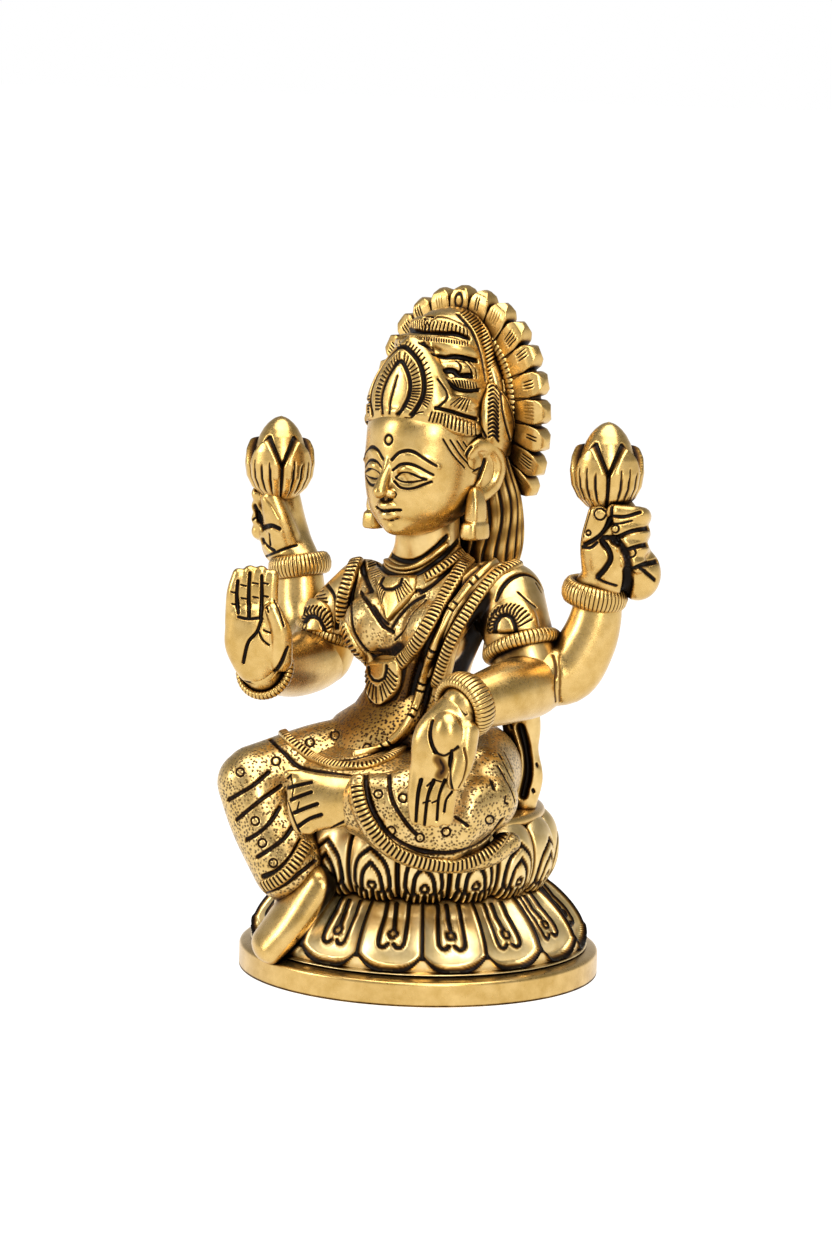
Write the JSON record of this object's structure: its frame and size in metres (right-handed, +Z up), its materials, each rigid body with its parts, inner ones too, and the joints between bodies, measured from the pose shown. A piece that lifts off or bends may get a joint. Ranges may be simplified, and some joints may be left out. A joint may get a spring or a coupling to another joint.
{
  "type": "lakshmi figure",
  "caption": "Seated goddess figure in cast brass on a round lotus seat: rear hands hold lotus buds, front hands bless and give, with a tall crown and a rayed halo behind.",
  "frame": {"origin": "centre of the round plinth's flat underside", "axes": "+Z up through the figure, -Y the way the figure faces, +X towards the figure's left hand"},
  "size_m": [0.1075, 0.0823, 0.1492],
  "materials": {
    "brass": "polished cast brass with dark patina left in the engraved grooves"
  },
  "bodies": {
    "root": {"lakshmi_figure": "brass"}
  },
  "joints": []
}
